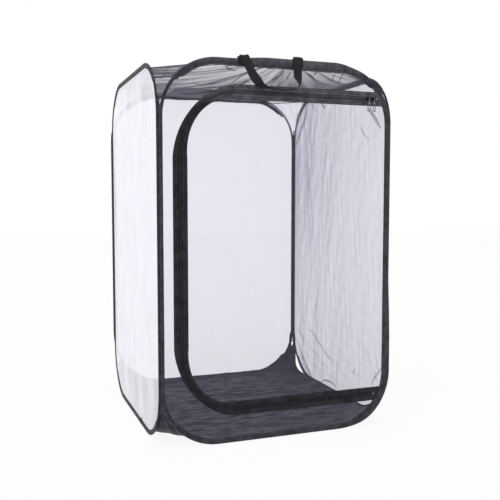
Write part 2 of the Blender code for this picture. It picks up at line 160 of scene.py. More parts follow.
def quads(rows, cols, wrap_rows, wrap_cols):
    """Corner numbers of a grid's faces, once in the points and once in the larger grid of the UVs."""
    r, c = np.meshgrid(
        np.arange(rows if wrap_rows else rows - 1),
        np.arange(cols if wrap_cols else cols - 1),
        indexing="ij",
    )
    corners = [(r, c), (r, c + 1), (r + 1, c + 1), (r + 1, c)]
    wide = cols + 1 if wrap_cols else cols
    points = np.stack([(i % rows) * cols + j % cols for i, j in corners], -1)
    marks = np.stack([i * wide + j for i, j in corners], -1)
    return points.reshape(-1, 4), marks.reshape(-1, 4)


def new_piece(name, points, faces, uv, finish):
    """A smooth object of points, four-cornered faces and a UV for each corner of each face."""
    data = bpy.data.meshes.new(name)
    data.from_pydata(points.tolist(), [], faces.tolist())
    layer = data.uv_layers.new(name="UVMap")
    layer.data.foreach_set("uv", uv.astype(np.float32).reshape(-1))
    data.polygons.foreach_set("use_smooth", np.ones(len(faces), bool))
    data.materials.append(finish)
    data.update()
    piece = bpy.data.objects.new(name, data)
    bpy.context.scene.collection.objects.link(piece)
    return piece


def skin(name, grids, finish, other=None):
    """One object of several grids: each is (points, uv, wrap rows, wrap columns, flip).

    other is a second finish and how many of the first faces keep the first one.
    """
    points, faces, marks = [], [], []
    count = 0
    for part, uv, wrap_rows, wrap_cols, flip in grids:
        rows, cols = part.shape[:2]
        near, far = quads(rows, cols, wrap_rows, wrap_cols)
        if flip:
            near, far = near[:, ::-1], far[:, ::-1]
        points.append(part.reshape(-1, 3))
        faces.append(near + count)
        marks.append(uv.reshape(-1, 2)[far.reshape(-1)])
        count += rows * cols
    piece = new_piece(name, *map(np.concatenate, (points, faces, marks)), finish)
    if other:
        piece.data.materials.append(other[0])
        second = np.arange(len(piece.data.polygons)) >= other[1]
        piece.data.polygons.foreach_set("material_index", second.astype(np.int32))
    return piece


def small_tubes(name, rings, finish, flip=False):
    """Many small tubes in one object: rings is (tube, ring, corner, xyz), and a face closes each end."""
    count, rows, cols = rings.shape[:3]
    near, _ = quads(rows, cols, False, True)
    last = (rows - 1) * cols
    one = np.concatenate([near, [np.arange(cols)[::-1], np.arange(last, last + cols)]])
    if flip:
        one = one[:, ::-1]
    faces = (one[None] + (np.arange(count) * rows * cols)[:, None, None]).reshape(-1, 4)
    points = rings.reshape(-1, 3)
    return new_piece(name, points, faces, points[faces.reshape(-1)][:, [0, 2]], finish)


def spread_uv(points, wrap_rows=False, wrap_cols=False):
    """UVs in metres: the distance along the rows and along the columns of a grid."""
    rows = np.concatenate([points, points[:1]]) if wrap_rows else points
    cols = np.concatenate([points, points[:, :1]], 1) if wrap_cols else points
    down = np.linalg.norm(np.diff(rows, axis=0), axis=-1).mean(1)
    across = np.linalg.norm(np.diff(cols, axis=1), axis=-1).mean(0)
    v = np.concatenate([[0.0], np.cumsum(down)])
    u = np.concatenate([[0.0], np.cumsum(across)])
    return np.stack(np.meshgrid(v, u, indexing="ij"), -1)


def open_grid(points, flip=False):
    """The grid of an open sheet, for skin."""
    return points, spread_uv(points), False, False, flip


def closed_grid(points, flip=False):
    """The grid of a closed section carried along a line, its two ends drawn in to a point, for skin."""
    first, last = (np.broadcast_to(end.mean(1, keepdims=True), end.shape) for end in (points[:1], points[-1:]))
    points = np.concatenate([first, points, last])
    return points, spread_uv(points, False, True), False, True, flip


def there_and_back(first, last, count):
    """From first to last and back again: the way round a flat section."""
    return np.concatenate([np.linspace(first, last, count), np.linspace(last, first, count)])


def hoop_line(step, arc_steps, inset=0.0):
    """The outline of a hoop, a rounded rectangle, or one inset from it: points and outward directions.

    It runs once round from the lower right corner.
    """
    side, radius = HOOP_HALF - CORNER, CORNER - inset
    centres = np.array([(side, CORNER), (side, TURN_TOP), (-side, TURN_TOP), (-side, CORNER)])
    points, ways = [], []
    for i, centre in enumerate(centres):
        way = directions(90.0 * i - 90.0 + np.linspace(0.0, 90.0, arc_steps + 1))
        turn = centre + radius * way
        after = centres[(i + 1) % 4] + radius * way[-1]
        n = max(int(np.linalg.norm(after - turn[-1]) / step), 2)
        t = np.linspace(0.0, 1.0, n + 1)[1:-1, None]
        points += [turn, turn[-1] + (after - turn[-1]) * t]
        ways += [way, np.repeat(way[-1:], n - 1, 0)]
    return np.concatenate(points), np.concatenate(ways)


def half_width(z, inset):
    """Half the width of a line inset from the hoop's outline, at each height."""
    radius = CORNER - inset
    past = np.clip(np.maximum(CORNER - z, z - TURN_TOP), 0.0, radius)
    return HOOP_HALF - CORNER + np.sqrt(radius**2 - past**2)


def zip_path(x_end, step=0.004, arc_steps=56):
    """The zip's C from its upper to its lower right end: points and outward directions.

    Each of its two corners is a quarter of an ellipse.
    """
    wide, tall = ZIP_TURN
    turn = ZIP_LEFT + wide
    n = int((x_end - turn) / step)
    top = np.stack([np.linspace(x_end, turn, n + 1)[:-1], np.full(n, ZIP_TOP)], 1)
    low = np.stack([np.linspace(turn, x_end, n + 1)[1:], np.full(n, ZIP_LOW)], 1)
    turns = [directions(np.linspace(first, first + 90.0, arc_steps + 1)) for first in (90.0, 180.0)]
    high_turn = np.array([turn, ZIP_TOP - tall]) + turns[0] * ZIP_TURN
    low_turn = np.array([turn, ZIP_LOW + tall]) + turns[1] * ZIP_TURN
    high_ways, low_ways = (unit(way / ZIP_TURN) for way in turns)
    m = int((ZIP_TOP - ZIP_LOW - 2 * tall) / step)
    side = high_turn[-1] + (low_turn[0] - high_turn[-1]) * np.linspace(0.0, 1.0, m + 1)[1:-1, None]
    up, left, down = [[0.0, 1.0]], [[-1.0, 0.0]], [[0.0, -1.0]]
    ways = [np.repeat(up, n, 0), high_ways, np.repeat(left, m - 1, 0), low_ways, np.repeat(down, n, 0)]
    return np.concatenate([top, high_turn, side, low_turn, low]), np.concatenate(ways)


def lengths(points):
    """Distance along a line of points."""
    return np.concatenate([[0.0], np.cumsum(np.linalg.norm(np.diff(points, axis=0), axis=1))])


def spaced(line, ways, at):
    """Points and outward directions at given distances along a line."""
    run = lengths(line)
    points, way = (np.stack([np.interp(at, run, part[:, i]) for i in (0, 1)], 1) for part in (line, ways))
    return points, unit(way)


def beside(line, ways, offset):
    """Both coordinates of the points that lie offset from each point of a line, along its ways."""
    return line[:, :1] + ways[:, :1] * offset, line[:, 1:] + ways[:, 1:] * offset


def through(points, steps):
    """A smooth line through given points, by the Catmull-Rom rule."""
    knots = np.concatenate([points[:1], points, points[-1:]])
    spans = len(points) - 1
    where = np.minimum(np.linspace(0.0, spans, steps + 1), spans - 1e-9)
    i = where.astype(int)
    t = (where - i)[:, None]
    a, b, c, d = knots[i], knots[i + 1], knots[i + 2], knots[i + 3]
    return (2 * b + (c - a) * t + (2 * a - 5 * b + 4 * c - d) * t**2 + (3 * b - a - 3 * c + d) * t**3) / 2


def narrow_fold(corners, width, cols, steps=24):
    """A fold of cloth along a line, widest in its middle, from millimetres in the cloth's plane.

    Returns both coordinates of its points, and how far each bows: a parabola across, half a sine along.
    """
    line = through(np.array(corners) / 1000.0, steps)
    run = unit(np.gradient(line, axis=0))
    t = np.linspace(0.0, 1.0, steps + 1)[:, None]
    s = np.linspace(-1.0, 1.0, cols)[None, :]
    across = beside(line, np.stack([-run[:, 1], run[:, 0]], 1), width / 1000.0 * arch(t) ** 0.6 * s / 2)
    return *across, (1.0 - s**2) * arch(t)


# ---------------------------------------------------------------- finishes


def new_material(name, plain):
    """A material, its node tree and its Principled shader with plain values set on their sockets."""
    made = bpy.data.materials.new(name)
    made.use_nodes = True
    shader = made.node_tree.nodes["Principled BSDF"]
    for socket, value in plain.items():
        shader.inputs[socket].default_value = value
    return made, made.node_tree, shader


def maths(tree, kind, *values, clamp=False):
    """A Math node; its inputs are numbers or sockets."""
    node = tree.nodes.new("ShaderNodeMath")
    node.operation = kind
    node.use_clamp = clamp
    for socket, value in zip(node.inputs, values):
        if isinstance(value, (int, float)):
            socket.default_value = value
        else:
            tree.links.new(value, socket)
    return node.outputs[0]


def ramp(tree, factor, stops):
    """A colour ramp through (place, grey or colour) stops."""
    node = tree.nodes.new("ShaderNodeValToRGB")
    tree.links.new(factor, node.inputs[0])
    for element, (where, colour) in zip(node.color_ramp.elements, stops):
        element.position = where
        grey = isinstance(colour, (int, float))
        element.color = (colour, colour, colour, 1.0) if grey else (*colour, 1.0)
    return node.outputs[0]


def object_place(tree):
    """The point's place on the object, in metres."""
    return tree.nodes.new("ShaderNodeTexCoord").outputs["Object"]


def clouds(tree, scale, detail):
    """Soft noise over the object's own coordinates."""
    noise = tree.nodes.new("ShaderNodeTexNoise")
    tree.links.new(object_place(tree), noise.inputs["Vector"])
    noise.inputs["Scale"].default_value = scale
    noise.inputs["Detail"].default_value = detail
    return noise.outputs[0]


def weave_group(name, pitch_u, pitch_v, noise_scale, ribbed=0.0):
    """Threads crossing over and under on the UVs, and a cloudy wear: outputs Threads and Cloud.

    ribbed is the share of the threads that runs on unbroken, as the ribs of a zip's tape do.
    """
    group = bpy.data.node_groups.new(name, "ShaderNodeTree")
    for output in ("Threads", "Cloud"):
        group.interface.new_socket(output, in_out="OUTPUT", socket_type="NodeSocketFloat")
    out = group.nodes.new("NodeGroupOutput")
    split = group.nodes.new("ShaderNodeSeparateXYZ")
    group.links.new(group.nodes.new("ShaderNodeUVMap").outputs[0], split.inputs[0])
    a, b = (
        maths(group, "SINE", maths(group, "MULTIPLY", way, 2 * math.pi / pitch))
        for way, pitch in zip(split.outputs, (pitch_u, pitch_v))
    )
    a = maths(group, "ADD", maths(group, "MULTIPLY", a, 1.0 - ribbed), ribbed)
    threads = maths(group, "MULTIPLY_ADD", maths(group, "MULTIPLY", a, b), 0.5, 0.5)
    group.links.new(threads, out.inputs["Threads"])
    group.links.new(clouds(group, noise_scale, 5.0), out.inputs["Cloud"])
    return group


def placed(tree, group):
    """The outputs of a node group placed in a material."""
    node = tree.nodes.new("ShaderNodeGroup")
    node.node_tree = group
    return node.outputs


def cloth_finish(name, weave, dark, light, roughness, depth, sheen, gloss=0.08, painted_top_light=None):
    """Woven cloth: its threads raise the surface by depth, its clouds run between two colours.

    The last argument is (from height, to height, dark, light): lighter colours higher up, painted light where the
    top runs catch the light from above.
    """
    plain = {"Roughness": roughness, "Sheen Weight": sheen, "Sheen Roughness": 0.5, "Specular IOR Level": gloss}
    made, tree, shader = new_material(name, plain)
    cloth = placed(tree, weave)
    wear = maths(tree, "MULTIPLY_ADD", cloth["Cloud"], 0.9, maths(tree, "MULTIPLY", cloth["Threads"], 0.35))
    colour = ramp(tree, wear, [(0.35, dark), (0.85, light)])
    # Painted light: lighter colours with height, where the top runs catch the light from above.
    if painted_top_light:
        low, high, lit_dark, lit_light = painted_top_light
        split = tree.nodes.new("ShaderNodeSeparateXYZ")
        tree.links.new(object_place(tree), split.inputs[0])
        above = maths(tree, "SUBTRACT", split.outputs[2], low)
        mix = tree.nodes.new("ShaderNodeMix")
        mix.data_type = "RGBA"
        tree.links.new(maths(tree, "DIVIDE", above, high - low, clamp=True), mix.inputs[0])
        tree.links.new(colour, mix.inputs[6])
        tree.links.new(ramp(tree, wear, [(0.35, lit_dark), (0.85, lit_light)]), mix.inputs[7])
        colour = mix.outputs[2]
    tree.links.new(colour, shader.inputs["Base Color"])
    bump = tree.nodes.new("ShaderNodeBump")
    bump.inputs["Distance"].default_value = depth
    bump.inputs["Strength"].default_value = 0.8
    tree.links.new(cloth["Threads"], bump.inputs["Height"])
    tree.links.new(bump.outputs[0], shader.inputs["Normal"])
    return made


def net_finish(name, colour, thread_share, roughness=0.7, gathered_and_shaded=None):
    """Sheer net: its threads hide more of what lies behind, the flatter it is looked along.

    The last argument is (point, reach, share): round that point the net covers more, by up to that share, and so
    looks darker: more cloth where it gathers, and painted shade of its folds.
    """
    made, tree, shader = new_material(name, {"Roughness": roughness, "Specular IOR Level": 0.2})
    net = placed(tree, net_weave)
    base = ramp(tree, net["Cloud"], [(0.3, tuple(c * 0.93 for c in colour)), (0.7, colour)])
    tree.links.new(base, shader.inputs["Base Color"])
    facing = tree.nodes.new("ShaderNodeLayerWeight")
    facing.inputs["Blend"].default_value = 0.5
    straight = maths(tree, "MAXIMUM", maths(tree, "SUBTRACT", 1.0, facing.outputs["Facing"]), 0.04)
    along = maths(tree, "MINIMUM", maths(tree, "DIVIDE", thread_share, straight), 0.97)
    open_part = maths(tree, "MULTIPLY", maths(tree, "SUBTRACT", 1.0, along), 1.0 - thread_share)
    cover = maths(tree, "SUBTRACT", 1.0, open_part)
    # More cover of the net's tone round a point: gathered cloth, and painted shade of the folds there.
    if gathered_and_shaded:
        point, reach, share = gathered_and_shaded
        far = tree.nodes.new("ShaderNodeVectorMath")
        far.operation = "DISTANCE"
        tree.links.new(object_place(tree), far.inputs[0])
        far.inputs[1].default_value = point
        near = maths(tree, "DIVIDE", far.outputs["Value"], reach)
        near = maths(tree, "EXPONENT", maths(tree, "MULTIPLY", maths(tree, "MULTIPLY", near, near), -1.0))
        cover = maths(tree, "MULTIPLY", cover, maths(tree, "MULTIPLY_ADD", near, share, 1.0))
    threads = maths(tree, "MULTIPLY_ADD", net["Threads"], 0.5, 0.75)
    tree.links.new(maths(tree, "MULTIPLY", cover, threads, clamp=True), shader.inputs["Alpha"])
    return made


def metal_finish(name, colour, roughness, scratch):
    """Metal with a fine unevenness of tone and gloss; scratch is how fine."""
    made, tree, shader = new_material(name, {"Metallic": 1.0})
    wear = clouds(tree, scratch, 4.0)
    tone = ramp(tree, wear, [(0.3, tuple(c * 0.75 for c in colour)), (0.7, colour)])
    tree.links.new(tone, shader.inputs["Base Color"])
    rough = ramp(tree, wear, [(0.25, roughness * 0.7), (0.75, roughness * 1.4)])
    tree.links.new(rough, shader.inputs["Roughness"])
    return made


tape_weave = weave_group("Tape weave", 0.0007, 0.0009, 60.0)
net_weave = weave_group("Net weave", 0.0013, 0.0013, 14.0)
floor_weave = weave_group("Floor weave", 0.0008, 0.0008, 24.0)
strap_weave = weave_group("Strap weave", 0.0016, 0.0022, 45.0)
rib_weave = weave_group("Zip tape weave", 0.0011, 0.0056, 50.0, 0.7)

# Each finish with painted top light: the heights between which it lightens, then its lit colours.
TAPE_TOP_LIGHT = (0.893, 0.912, (0.030, 0.029, 0.034), (0.125, 0.122, 0.140))
ZIP_TOP_LIGHT = (0.800, 0.826, (0.014, 0.014, 0.016), (0.115, 0.113, 0.124))
COIL_TOP_LIGHT = (0.800, 0.826, (0.040, 0.039, 0.044), (0.095, 0.093, 0.103))

# Cloths: a dark and a light tone, roughness, depth of the threads, sheen.
black_tape = cloth_finish(
    "Folded tape", tape_weave, (0.012, 0.011, 0.015), (0.070, 0.067, 0.082), 0.62, 0.0003, 0.06, painted_top_light=TAPE_TOP_LIGHT
)
zip_cloth = cloth_finish(
    "Zip tape cloth", rib_weave, (0.003, 0.003, 0.004), (0.036, 0.035, 0.041), 0.50, 0.0005, 0.03, painted_top_light=ZIP_TOP_LIGHT
)
floor_finish = cloth_finish(
    "Floor cloth", floor_weave, (0.018, 0.016, 0.025), (0.050, 0.045, 0.066), 0.45, 0.0001, 0.05
)
joint_finish = cloth_finish(
    "Tape joint", strap_weave, (0.001, 0.001, 0.002), (0.004, 0.004, 0.005), 1.0, 0.0003, 0.0, gloss=0.0
)
strap_finish = cloth_finish("Webbing", strap_weave, (0.008, 0.008, 0.009), (0.030, 0.029, 0.033), 0.60, 0.0004, 0.05)
coil_finish = cloth_finish(
    "Nylon coil", tape_weave, (0.016, 0.016, 0.018), (0.040, 0.040, 0.045), 0.40, 0.00002, 0.0, painted_top_light=COIL_TOP_LIGHT
)
thread_finish = cloth_finish("Thread", tape_weave, (0.030, 0.030, 0.034), (0.090, 0.088, 0.098), 0.5, 0.00005, 0.1)

# Nets: a tone and the share that the threads cover. The left wall's net is a lit copy of the white net, its tone
# painted light; the right wall's is a shaded copy, its tone painted shade.
white_net = net_finish("White net", (0.70, 0.69, 0.91), 0.20)
painted_lit_net = net_finish("White net with painted light", (0.98, 0.97, 1.0), 0.15)
# Its upper rear is darker: gathered cloth, and painted shade of the folds there.
shaded_net = net_finish("Shaded white net", (0.57, 0.56, 0.67), 0.21, 0.7, ((0.30, 0.27, 0.70), 0.26, 0.42))
front_white = net_finish("Fine white net", (0.74, 0.73, 0.94), 0.016)
# The folds of the white walls: their dark tone is painted shade in the creases.
fold_shade_net = net_finish("Folded white net in painted shade", (0.26, 0.25, 0.33), 0.24)
black_net = net_finish("Black net", (0.05, 0.047, 0.090), 0.150, 0.5)
# The top's folds: denser where the net lies doubled, and a darker tone, painted shade in the creases.
fold_shade_black = net_finish("Folded black net in painted shade", (0.030, 0.028, 0.050), 0.26, 0.5)

# Metals: a tone, roughness and how fine their wear is.
bright_metal = metal_finish("Dark chrome", (0.16, 0.16, 0.18), 0.25, 400.0)
slider_metal = metal_finish("Black enamel", (0.020, 0.020, 0.024), 0.30, 300.0)
steel = metal_finish("Spring steel", (0.42, 0.42, 0.44), 0.35, 900.0)


# ---------------------------------------------------------------- hoops


def taper(t):
    """How the binding's sides close in, from 1 behind its round edge to 0.3 at its lip."""
    return 1.0 - 0.70 * t**0.85


def casing_section():
    """The folded tape in section: a round nose, sides that run in with a slight belly, a thin lip.

    Returned as shares (of the width inward, of the nose's radius across), once round.
    """
    a = np.radians(np.linspace(-90.0, 90.0, 9))
    t = np.linspace(0.0, 1.0, 8)[1:]
    side_u = NOSE_SHARE + (1.0 - NOSE_SHARE) * t
    side_v = taper(t) - 0.10 * np.exp(-(((t - 0.72) / 0.10) ** 2))
    u = np.concatenate([NOSE_SHARE - NOSE_SHARE * np.cos(a), side_u, side_u[::-1]])
    v = np.concatenate([np.sin(a), side_v, -side_v[::-1]])
    return u, v


def casing_width(side, u, z):
    """6 mm on the upright runs, 8 and 14 mm on the front's, 12.5 mm where the top and the floor are sewn in."""
    high = smooth((z - (TURN_TOP + CORNER * 0.62)) / 0.006)
    low = smooth(((CORNER * 0.42) - z) / 0.006)
    plain = 0.0080 + 0.0060 * smooth((u - 0.18) / 0.06) if side == "front" else 0.0062 + 0.0 * u
    return np.maximum(plain, plain + (0.0125 - plain) * np.maximum(high, low))


def swelling(side, u, z):
    """How far the binding stands out past its wire.

    The front's is doubled low at the right and crowned at the top, the back's stands out down its left run.
    """
    if side == "back":
        return 0.0085 * smooth((u - 0.25) / 0.05) * smooth((z - 0.08) / 0.10) * smooth((0.86 - z) / 0.10)
    if side != "front":
        return 0.0
    right = 0.0085 * smooth((u - 0.17) / 0.09) * smooth((0.50 - z) / 0.30)
    crown = 0.0065 * smooth((z - 0.90) / 0.01) * smooth((u + 0.13) / 0.10) * smooth((0.20 - u) / 0.06)
    return right + crown


def hoop_casing(side):
    """A section carried round the hoop; its width follows casing_width, its sides swell a little at random."""
    line, ways = hoop_line(*HOOP_STEPS)
    u, z, run = line[:, :1], line[:, 1:], lengths(line)[:, None]
    share_in, share_out = casing_section()
    seed = 40 + list(WALLS).index(side)
    uneven = 0.03 * ripple(run, 0.0, seed, 0.12, 0.012) * smooth(share_in * 2 - 1)
    pinch = 0.05 * (1.0 + ripple(run, 0.0, seed + 9, 0.08, 0.010)) * smooth(share_in * 3 - 1)
    proud = swelling(side, u, z) * (1.0 - np.minimum(share_in / NOSE_SHARE, 1.0))
    inward = share_in * casing_width(side, u, z) * (1.0 + uneven) - proud
    points = place(side, *beside(line, ways, -inward), share_out * NOSE * (1.0 - pinch))
    piece = skin(f"{side}_casing", [(points, spread_uv(points, True, True), True, True, True)], black_tape)
    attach(piece, f"{side}_panel")
    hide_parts(f"{side}_hoop_tape")


def tape_joint(side, u, z, length=0.006):
    """The lap where the binding's two ends meet: its section, prouder and wider, carried a short way."""
    prouder, wider = 0.0010, 0.0045
    line, ways = hoop_line(0.0015, 176)
    nearest = int(np.argmin(np.hypot(line[:, 0] - u, line[:, 1] - z)))
    half = max(int(length / 2 / np.linalg.norm(line[nearest + 1] - line[nearest])), 1)
    rows = slice(nearest - half, nearest + half + 1)
    line, ways = line[rows], ways[rows]
    share_in, share_out = casing_section()
    inward = share_in * (casing_width(side, line[:, :1], line[:, 1:]) + wider) + 0.0001
    points = place(side, *beside(line, ways, -inward), share_out * (NOSE + prouder))
    piece = skin(f"{side}_tape_joint", [closed_grid(points, True)], joint_finish)
    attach(piece, f"{side}_panel")


def seam_stitches(side, pitch=0.0046, from_lip=0.0016):
    """The line of stitches that closes the folded tape, on both of its faces, a little in from its lip.

    Each is a four-sided tube along its line that dips at both ends into the cloth.
    """
    line, ways = hoop_line(0.002, 88)
    at, way = spaced(line, ways, np.arange(pitch / 2, lengths(line)[-1], pitch))
    width = casing_width(side, *at.T)
    level = NOSE * taper((1.0 - from_lip / width - NOSE_SHARE) / (1.0 - NOSE_SHARE))
    flat = at - way * (width - from_lip)[:, None]
    middle = np.concatenate([place(side, *flat.T, sign * level) for sign in (1.0, -1.0)])
    origin = place(side, *at.T, 0.0)
    ahead = np.tile(place(side, at[:, 0] - way[:, 1], at[:, 1] + way[:, 0], 0.0) - origin, (2, 1))[:, None]
    out = place(side, *at.T, 1.0) - origin
    out = np.concatenate([out, -out])[:, None]
    long, thick = 0.0031, 0.00026
    share = np.array([-0.5, -0.3, 0.3, 0.5])[None, :, None] * long
    rise = np.array([-0.6, 0.55, 0.55, -0.6])[None, :, None] * thick
    corner = directions(SQUARE) * thick
    ring = np.cross(ahead, out)[:, None] * corner[None, None, :, :1] + out[:, None] * corner[None, None, :, 1:]
    rings = (middle[:, None] + ahead * share + out * rise)[:, :, None] + ring
    piece = small_tubes(f"{side}_stitches", rings, thread_finish)
    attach(piece, f"{side}_panel")


# ---------------------------------------------------------------- nets


def pleat(side, corners, width):
    """A narrow fold of the net inside the wall: it follows a line, is widest in its middle and bows in."""
    u, z, bow = narrow_fold(corners, width, 7)
    return open_grid(place(side, u, z, -0.0006 - 0.0016 * bow))


def wall_net(side, finish, slack, folds=(), rows=200, cols=120):
    """Rows of points at each height between the two sides of the hoop, pushed out by slack.

    The rows lie closer together towards the bottom and the top.
    """
    inset = 0.0050
    low, high = inset, HEIGHT - inset
    t = np.linspace(0.0, 1.0, rows)[:, None]
    z = 1.5 * low + (high - low) * (0.5 - 0.5 * np.cos(math.pi * t) + t) / 2
    wide = half_width(z, inset)
    s = np.linspace(-1.0, 1.0, cols)
    u = s * wide
    hold = smooth((1.0 - np.abs(s)) * wide / 0.05) * smooth((z - low) / 0.05) * smooth((high - z) / 0.05)
    grids = [open_grid(place(side, u, z, slack(u, z) * hold))]
    grids += [pleat(side, corners, width) for corners, width in folds]
    # The folds take the dark folded net: painted shade in the creases.
    piece = skin(f"{side}_net", grids, finish, (fold_shade_net, (rows - 1) * (cols - 1)))
    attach(piece, f"{side}_panel")
    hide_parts(f"{side}_mesh")


def loose(u, z):
    """Slack of the back wall: long soft waves, mostly upright."""
    return 0.0016 * ripple(u, z, 3, 0.30, 0.05, 0.0, 1.2)


def creased(u, z):
    """Slack of the left wall: soft waves, and short creases that hang from its upper front corner."""
    hanging = fan(u, z, (0.20, 0.93), (-1, -1), 14.0, 0.07, 0.0040, 0.9, 2.2)
    return 0.0012 * ripple(u, z, 4, 0.30, 0.09, 0.0, 1.2) + hanging


def fan(u, z, at, ways, narrow, reach, depth, first, last):
    """Creases that run out from a corner: waves over the angle about it that die away with distance.

    ways are the signs of u and z into the wall; the creases lie between the angles first and last.
    """
    du, dz = u - at[0], z - at[1]
    far = np.hypot(du, dz) + 0.004
    angle = np.arctan2(dz * ways[1], du * ways[0])
    inside = smooth((angle - first) / 0.15) * smooth((last - angle) / 0.15)
    crest = np.abs(np.sin(angle * narrow + 0.7 * np.sin(angle * 5.0))) ** 0.6 - 0.6
    return crest * np.exp(-far / reach) * smooth(far / 0.03) * inside * depth


def fanned(u, z):
    """Slack of the right wall: creases fan from both rear corners and low at the front, upright waves between."""
    high = fan(u, z, (0.240, 0.925), (1, -1), 12.0, 0.20, 0.0080, 0.7, 2.0)
    low = fan(u, z, (0.300, 0.160), (-1, -1), 8.0, 0.12, 0.0080, 0.2, 1.5)
    front = fan(u, z, (-0.285, 0.075), (1, 1), 8.0, 0.09, 0.0045, 0.3, 1.4)
    upright = 0.0031 * ripple(u, z, 5, 0.20, 0.026, 0.15, 0.6, 14) * (0.5 + 0.5 * smooth((u + 0.1) / 0.2))
    return high + low + front + upright + 0.0015 * ripple(u, z, 6, 0.06, 0.016, 0.9, 2.2)


# Folds of the right net: the corners of each one's line, u and z, and its width, in millimetres.
RIGHT_FOLDS = [
    ([(201, 901), (209, 856), (255, 801), (293, 757)], 11.0),
    ([(231, 902), (251, 860), (277, 832), (290, 813)], 10.0),
    ([(269, 882), (290, 838)], 7.0),
    ([(171, 900), (154, 868)], 6.0),
    ([(113, 900), (90, 872), (68, 860)], 8.0),
    ([(-185, 832), (-222, 803), (-258, 768)], 11.0),
    ([(-142, 788), (-168, 764), (-194, 743)], 3.5),
    ([(230, 90), (218, 65), (179, 31), (155, 12)], 13.0),
    ([(-285, 150), (-246, 111), (-223, 83)], 5.5),
    ([(182, 173), (122, 146), (50, 110), (-4, 95)], 4.0),
    ([(-134, 111), (-121, 85)], 3.0),
    ([(88, 12), (60, 26), (20, 31), (-10, 26), (-21, 12)], 6.0),
]


def polar(points, centre):
    """Angle and distance of an outline's points about a centre, in order of angle."""
    away = points - centre
    angle = np.arctan2(away[:, 1], away[:, 0])
    order = np.argsort(angle)
    angle, far = angle[order], np.hypot(away[:, 0], away[:, 1])[order]
    return np.concatenate([angle - 2 * math.pi, angle, angle + 2 * math.pi]), np.tile(far, 3)


def front_net():
    """A ring from the door's hole out to the hoop: each ray from the middle is shared evenly."""
    outer, _ = hoop_line(0.0008, 260, 0.0070)
    path, ways = zip_path(HINGE_X, 0.003, 40)
    inner = path + ways * NET_FROM_ZIP
    hinge = np.stack([np.full(240, HINGE_X), np.linspace(inner[-1, 1], inner[0, 1], 240)], 1)
    inner = np.concatenate([inner, hinge[1:-1]])
    centre = np.array([0.0, HEIGHT / 2])
    at = np.arctan2(inner[:, 1] - centre[1], inner[:, 0] - centre[0])
    reach = np.interp(at, *polar(outer, centre))
    edge = centre + np.stack([np.cos(at), np.sin(at)], 1) * reach[:, None]
    t = np.linspace(0.0, 1.0, 14)
    flat = inner[:, None] + (edge - inner)[:, None] * t[:, None]
    u, z = flat[..., 0], flat[..., 1]
    points = place("front", u, z, 0.0012 * ripple(u, z, 21, 0.20, 0.03) * arch(t))
    piece = skin("front_net", [(points, spread_uv(points, True), True, False, False)], front_white)
    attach(piece, "front_panel")
    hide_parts("front_mesh")


def door_net():
    """Rows of points at each height from the zip's C to the hinge line."""
    low, high, left = ZIP_LOW + NET_FROM_ZIP, ZIP_TOP - NET_FROM_ZIP, ZIP_LEFT + NET_FROM_ZIP
    wide, tall = (half - NET_FROM_ZIP for half in ZIP_TURN)
    t = np.linspace(0.0, 1.0, 180)[:, None]
    z = low + (high - low) * (0.5 - 0.5 * np.cos(math.pi * t))
    below = np.clip((low + tall) - z, 0.0, tall)
    above = np.clip(z - (high - tall), 0.0, tall)
    start = left + wide * (1.0 - np.sqrt(1.0 - (np.maximum(below, above) / tall) ** 2))
    s = np.linspace(0.0, 1.0, 90)
    u = start + (HINGE_X - start) * s
    hold = smooth(s / 0.12) * smooth((1.0 - s) / 0.12) * smooth((z - low) / 0.05) * smooth((high - z) / 0.05)
    points = place("front", u, z, 0.0022 * ripple(u, z, 33, 0.35, 0.05, 0.3, 2.0) * hold)
    piece = skin("door_net", [open_grid(points)], front_white)
    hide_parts("door_mesh")
    return piece


# ---------------------------------------------------------------- top, floor and gussets


def octagon(cut, rows, cols):
    """Rows across a square whose corners are cut: x and y, each row as wide as the square is there."""
    straight = EDGE - cut
    n = rows // 5
    between = np.linspace(-straight, straight, rows - 2 * n)[1:-1]
    y = np.concatenate([np.linspace(-EDGE, -straight, n + 1), between, np.linspace(straight, EDGE, n + 1)])
    y = y[:, None]
    return np.broadcast_arrays(np.linspace(-1.0, 1.0, cols) * np.minimum(EDGE, EDGE + straight - np.abs(y)), y)


def to_edge(x, y, cut):
    """How far (x, y) lies in from the edge of the cut square."""
    near = np.minimum(EDGE - np.abs(x), EDGE - np.abs(y))
    return np.minimum(near, (2 * EDGE - cut - np.abs(x) - np.abs(y)) * 0.7)


def diagonal(sx, sy):
    """The level direction out through a corner."""
    return np.array([sx * 0.7071, sy * 0.7071, 0.0])


def corner_rows(sx, sy, first, last, rows, cols, way, pleats, seed, slack=0.0):
    """The cloth between two hoops' arcs, from one angle down them to another.

    Each row is the chord between the arcs; pleats lift it along its own length and bow it a little.
    last is one angle or one for each column, way is 1 at the top and -1 at the floor. slack is the
    share of the chord by which it falls short of the second arc.
    """
    angle = np.radians(first + (np.asarray(last) - first) * np.linspace(0.0, 1.0, rows)[:, None])
    arc = ARC + 0.0046 * smooth((angle - 0.80) / 0.20)
    inset = CORNER - arc * np.sin(angle)
    z = (TURN_TOP if way > 0 else CORNER) + way * arc * np.cos(angle)
    t = np.linspace(0.0, 1.0, cols) * (1.0 - slack * arch(np.clip((angle - 0.20) / 0.90, 0.0, 1.0)))
    x = sx * ((HALF - inset) * (1 - t) + EDGE * t)
    y = sy * (EDGE * (1 - t) + (HALF - inset) * t)
    hold = arch(t) ** 0.7 * smooth(inset * math.sqrt(2.0) / 0.08) * smooth((angle - angle[0]) / 0.25)
    fold = 0.7 * pleats * hold * np.cos(2 * math.pi * (t - 0.5) * 3.0 + ripple(angle, 0.0, seed, 1.5, 0.5))
    return np.stack(np.broadcast_arrays(x + sx * fold, y + sy * fold, z), -1)


